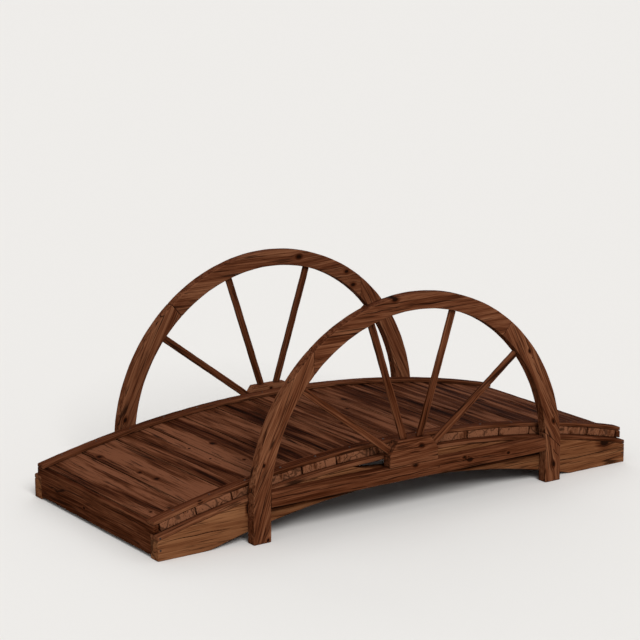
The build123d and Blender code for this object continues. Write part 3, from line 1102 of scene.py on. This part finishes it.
class FOOTBRIDGE_OT_stage(bpy.types.Operator):
    """Sets up the pale floor, the soft lamps, the world and the camera"""
    bl_idname = "footbridge.stage"
    bl_label = "Stage"

    azimuth: FloatProperty(name="Azimuth", description="Camera's turn about the upright axis",
                           default=math.radians(-34.12), subtype="ANGLE")
    elevation: FloatProperty(name="Elevation", description="Camera's height above the horizon",
                             default=math.radians(12.93), subtype="ANGLE")
    roll: FloatProperty(name="Roll", description="Camera's turn about its own axis",
                        default=math.radians(-0.2), subtype="ANGLE")
    distance: FloatProperty(name="Distance", description="Camera to target", default=6.12996, unit="LENGTH")
    target: FloatVectorProperty(name="Target", description="Point in the middle of the view",
                                default=(-0.05443, 0.0, 0.4621), size=3, subtype="XYZ")
    lens: FloatProperty(name="Lens", description="Focal length in millimetres", default=125.848)

    def execute(self, context):
        self.add_floor()
        self.add_lamps()
        self.add_world(context)
        self.add_camera(context)
        return {"FINISHED"}

    def add_floor(self):
        """Level square of matt paper, which takes soft shadows and has no shine, so wide that its far
        edge lies in the pale background."""
        corners = [(x * FLOOR_HALF, y * FLOOR_HALF, 0) for x, y in ((-1, -1), (1, -1), (1, 1), (-1, 1))]
        mesh = bpy.data.meshes.new("studio_floor")
        mesh.from_pydata(corners, [], [(0, 1, 2, 3)])
        material, add = new_material("matt_studio_paper")
        shader = add("BsdfPrincipled", {"Base Color": (*colours().floor, 1), "Roughness": 0.95,
                                        "Specular IOR Level": 0.0})
        add("OutputMaterial", {"Surface": shader})
        mesh.materials.append(material)
        floor = bpy.data.objects.new("studio_floor", mesh)
        bpy.context.scene.collection.objects.link(floor)

    def add_lamps(self):
        """A soft sun high in front, as wide as a bright patch of cloud, and a faint one low behind."""
        for name, place, strength, width in (
            ("key_sun", (-0.6, -2.35, 2.15), 2.2, 30.0),
            ("back_sun", (1.2, 2.2, 0.8), 0.9, 60.0),
        ):
            data = bpy.data.lights.new(name, "SUN")
            data.energy = strength
            data.angle = math.radians(width)
            lamp = bpy.data.objects.new(name, data)
            lamp.location = place
            lamp.rotation_euler = Vector(place).to_track_quat("Z", "Y").to_euler()
            bpy.context.scene.collection.objects.link(lamp)

    def add_world(self, context):
        """Even daylight for the object, and a pale background where the camera looks past the floor."""
        world = bpy.data.worlds.new("studio_world")
        world.use_nodes = True
        world.node_tree.nodes.clear()
        add = partial(add_node, world.node_tree)
        seen = add("LightPath").outputs["Is Camera Ray"]
        level = add("MapRange", {0: seen, 3: DAYLIGHT, 4: BACKGROUND})
        backdrop = add("Background", {"Color": (1, 1, 1, 1), "Strength": level})
        add("OutputWorld", {"Surface": backdrop})
        context.scene.world = world

    def add_camera(self, context):
        """Camera on a line from the target, tilted by its roll about that line."""
        a, e, r = self.azimuth, self.elevation, self.roll
        back = Vector((math.sin(a) * math.cos(e), -math.cos(a) * math.cos(e), math.sin(e)))
        right = Vector((math.cos(a), math.sin(a), 0))
        up = back.cross(right)
        tilted_right = math.cos(r) * right + math.sin(r) * up
        tilted_up = math.cos(r) * up - math.sin(r) * right
        data = bpy.data.cameras.new("photo_camera")
        data.lens = self.lens
        data.sensor_width = 36.0
        camera = bpy.data.objects.new("photo_camera", data)
        turn = Matrix((tilted_right, tilted_up, back)).transposed()
        camera.matrix_world = Matrix.Translation(Vector(self.target) + back * self.distance) @ turn.to_4x4()
        context.scene.collection.objects.link(camera)
        context.scene.camera = camera
        context.scene.view_settings.view_transform = "Standard"


STEPS = (
    FOOTBRIDGE_OT_deck_planks,
    FOOTBRIDGE_OT_laths,
    FOOTBRIDGE_OT_side_beams,
    FOOTBRIDGE_OT_end_fascias,
    FOOTBRIDGE_OT_rims,
    FOOTBRIDGE_OT_stretchers,
    FOOTBRIDGE_OT_hubs,
    FOOTBRIDGE_OT_spokes,
    FOOTBRIDGE_OT_nails,
    FOOTBRIDGE_OT_stage,
)


class FOOTBRIDGE_PT_panel(bpy.types.Panel):
    """Lists the footbridge's steps, sizes and colours"""
    bl_idname = "FOOTBRIDGE_PT_panel"
    bl_label = "Footbridge"
    bl_space_type = "VIEW_3D"
    bl_region_type = "UI"
    bl_category = "Footbridge"

    def draw(self, context):
        for operator in STEPS:
            self.layout.operator(operator.bl_idname)
        for group in (context.scene.footbridge_sizes, context.scene.footbridge_colours):
            box = self.layout.box()
            for name in group.__annotations__:
                box.prop(group, name)


CLASSES = (FootbridgeSizes, FootbridgeColours, *STEPS, FOOTBRIDGE_PT_panel)


def register():
    """Registers the classes and puts the two groups of settings on the scene."""
    for item in CLASSES:
        bpy.utils.register_class(item)
    bpy.types.Scene.footbridge_sizes = PointerProperty(type=FootbridgeSizes)
    bpy.types.Scene.footbridge_colours = PointerProperty(type=FootbridgeColours)


def unregister():
    """Takes the settings and the classes away again."""
    del bpy.types.Scene.footbridge_colours
    del bpy.types.Scene.footbridge_sizes
    for item in reversed(CLASSES):
        bpy.utils.unregister_class(item)


def main():
    """Runs every step in order."""
    register()
    for operator in STEPS:
        group, name = operator.bl_idname.split(".")
        getattr(getattr(bpy.ops, group), name)()


if __name__ == "__main__":
    main()
